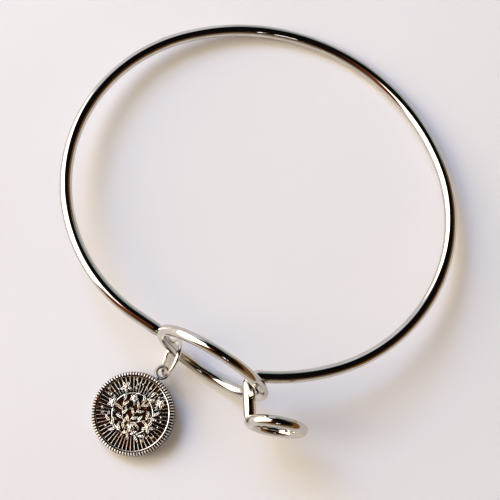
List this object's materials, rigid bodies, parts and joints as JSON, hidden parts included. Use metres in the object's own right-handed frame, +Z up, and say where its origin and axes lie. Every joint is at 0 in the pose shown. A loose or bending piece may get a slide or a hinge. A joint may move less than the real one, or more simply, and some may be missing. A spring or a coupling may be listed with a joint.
{
  "type": "charm bangle",
  "caption": "Oval wire bangle with a hook-and-eye closure of two rings and a round medallion charm hanging on a small jump ring, lying at rest.",
  "frame": {"origin": "on the floor under the middle of the whole bangle's bounding box, as it lies at rest", "axes": "+X along the oval hoop's long axis with the hook at its +X side, -Y towards the closure and the medallion, +Z up from the floor"},
  "size_m": [0.0654, 0.0761, 0.02],
  "materials": {
    "polished_wire": "polished silver-toned plating",
    "jump_ring_wire": "polished silver-toned plating",
    "antiqued_casting": "antiqued silver-toned cast metal, bright on the relief and dark in its recesses"
  },
  "bodies": {
    "root": {"bangle_frame": "polished_wire", "jump_ring": "jump_ring_wire", "medallion": "antiqued_casting"}
  },
  "joints": []
}
